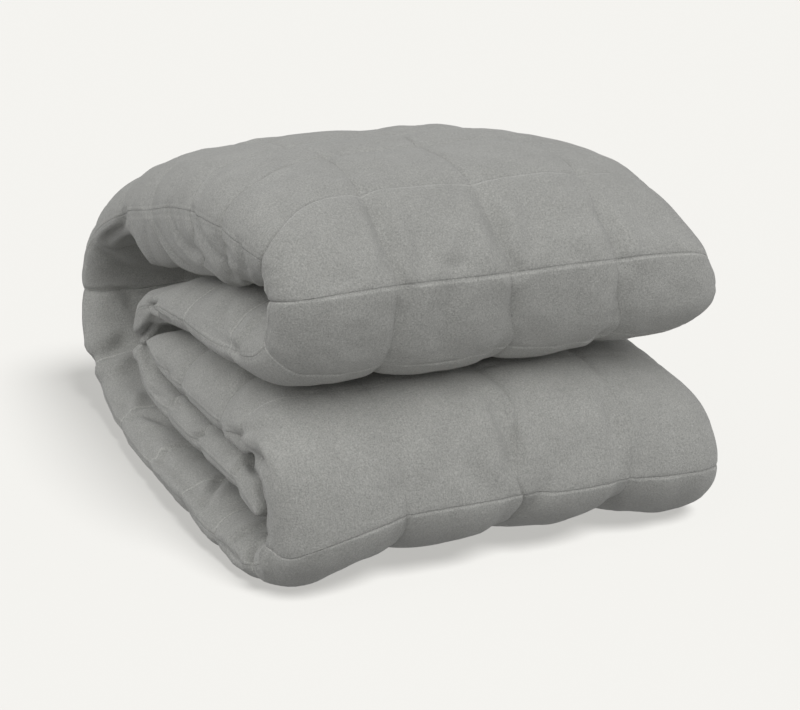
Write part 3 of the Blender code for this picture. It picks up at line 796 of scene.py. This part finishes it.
# The floor glows by itself, and a sun that lights nothing else gives it most of the rest of its
# brightness, so the blanket's shadow on it is pale and soft.
FLOOR_REACH = 12.0  # how far it runs each way, in metres
FLOOR_COLOUR = (0.040, 0.0396, 0.0384)
FLOOR_GLOW = (0.495, 0.490, 0.471)
FLOOR_SUN = (0.12, -0.70, 0.86)  # way towards its sun
FLOOR_SUN_POWER = 39.0
FLOOR_SUN_SPREAD = 24.0  # degrees
# Soft lights of the room: degrees to the right of the front, degrees up, glow in the middle
SOFT_LIGHTS = (
    (-50, 40, 0.94),
    (30, 40, 0.67),
    (-135, 15, 0.66),
    (-10, 40, 0.54),
    (90, 15, 0.47),
    (0, -45, 0.40),
    (90, -15, 0.38),
    (-20, 65, 0.36),
    (-135, 40, 0.33),
    (75, 40, 0.33),
    (-90, 40, 0.28),
    (-60, 15, 0.22),
    (60, -45, 0.11),
    (50, 65, 0.04),
)
ROOM_GLOW = 0.11  # light that comes from everywhere
LIGHT_CORE, LIGHT_EDGE = 5.0, 42.0  # degrees from a light's middle to where it dims, and to its end

# The photograph's view, worked out from where the seams fall in it
VIEW_TURN, VIEW_RISE = -25.412, 17.29  # degrees to the right of the front, and up
VIEW_TARGET = (2.0, 1.5, 1.4)  # in squares
VIEW_DISTANCE = 14.0329  # in squares
VIEW_FOCAL = 1601.286  # in pixels, as the shift and the width
VIEW_SHIFT = (33.446, 1.202)  # how far right of the picture's middle the target is, and below it
PICTURE_WIDTH = 800
SENSOR_WIDTH = 36.0  # in millimetres


def floor():
    """A plain pale floor, which takes the blanket's shadow."""
    mesh = bpy.data.meshes.new("floor")
    corners = ((-1, -1), (1, -1), (1, 1), (-1, 1))
    corners = [(x * FLOOR_REACH, y * FLOOR_REACH, 0) for x, y in corners]
    mesh.from_pydata(corners, [], [(0, 1, 2, 3)])
    ground = bpy.data.objects.new("floor", mesh)
    bpy.context.scene.collection.objects.link(ground)
    paint = bpy.data.materials.new("pale_floor")
    paint.use_nodes = True
    shader = paint.node_tree.nodes["Principled BSDF"]
    shader.inputs["Base Color"].default_value = (*FLOOR_COLOUR, 1.0)
    shader.inputs["Roughness"].default_value = 1.0
    shader.inputs["Specular IOR Level"].default_value = 0.0
    shader.inputs["Emission Color"].default_value = (*FLOOR_GLOW, 1.0)
    shader.inputs["Emission Strength"].default_value = 1.0
    mesh.materials.append(paint)
    ground.visible_diffuse = False
    ground.visible_shadow = False
    return ground


def way_to(turn, rise):
    """The direction that is so many degrees to the right of the front, and up."""
    turn, rise = math.radians(turn), math.radians(rise)
    return math.sin(turn) * math.cos(rise), -math.cos(turn) * math.cos(rise), math.sin(rise)


def camera():
    """The photograph's view."""
    turn = math.radians(VIEW_TURN)
    back = Vector(way_to(VIEW_TURN, VIEW_RISE))
    right = Vector((math.cos(turn), math.sin(turn), 0.0))
    up = back.cross(right)
    aside, above = (shift * VIEW_DISTANCE / VIEW_FOCAL for shift in VIEW_SHIFT)
    place = Vector(VIEW_TARGET) + back * VIEW_DISTANCE - right * aside + up * above
    place = (place - Vector((*MIDDLE, 0.0))) * SQUARE
    data = bpy.data.cameras.new("camera")
    data.sensor_width = SENSOR_WIDTH
    data.lens = VIEW_FOCAL / PICTURE_WIDTH * SENSOR_WIDTH
    view = bpy.data.objects.new("camera", data)
    view.matrix_world = Matrix.Translation(place) @ Matrix((right, up, back)).transposed().to_4x4()
    bpy.context.scene.collection.objects.link(view)
    bpy.context.scene.camera = view


def studio_world():
    """A room that glows faintly all round, with broad soft lights in it."""
    world = bpy.data.worlds.new("studio")
    world.use_nodes = True
    sky, wires = world.node_tree.nodes, world.node_tree.links
    way = sky.new("ShaderNodeTexCoord")
    glow = sky.new("ShaderNodeValue").outputs[0]
    glow.default_value = ROOM_GLOW
    for turn, rise, power in SOFT_LIGHTS:
        near = sky.new("ShaderNodeVectorMath")
        near.operation = "DOT_PRODUCT"
        near.inputs[1].default_value = way_to(turn, rise)
        wires.new(way.outputs["Generated"], near.inputs[0])
        light = sky.new("ShaderNodeMapRange")
        light.interpolation_type = "SMOOTHSTEP"
        light.inputs["From Min"].default_value = math.cos(math.radians(LIGHT_EDGE))
        light.inputs["From Max"].default_value = math.cos(math.radians(LIGHT_CORE))
        light.inputs["To Max"].default_value = power
        wires.new(near.outputs["Value"], light.inputs["Value"])
        both = sky.new("ShaderNodeMath")
        both.operation = "ADD"
        wires.new(glow, both.inputs[0])
        wires.new(light.outputs["Result"], both.inputs[1])
        glow = both.outputs["Value"]
    wires.new(glow, sky["Background"].inputs["Strength"])
    sky["Background"].inputs["Color"].default_value = (1.0, 1.0, 1.0, 1.0)
    bpy.context.scene.world = world


def floor_sun(ground):
    """A broad sun that lights the floor alone."""
    data = bpy.data.lights.new("floor_light", "SUN")
    data.energy = FLOOR_SUN_POWER
    data.angle = math.radians(FLOOR_SUN_SPREAD)
    light = bpy.data.objects.new("floor_light", data)
    light.rotation_euler = Vector(FLOOR_SUN).to_track_quat("Z", "Y").to_euler()
    bpy.context.scene.collection.objects.link(light)
    lit = bpy.data.collections.new("lit_by_floor_light")
    lit.objects.link(ground)
    light.light_linking.receiver_collection = lit


floor_sun(floor())
studio_world()
camera()
bpy.context.scene.view_settings.view_transform = "Standard"
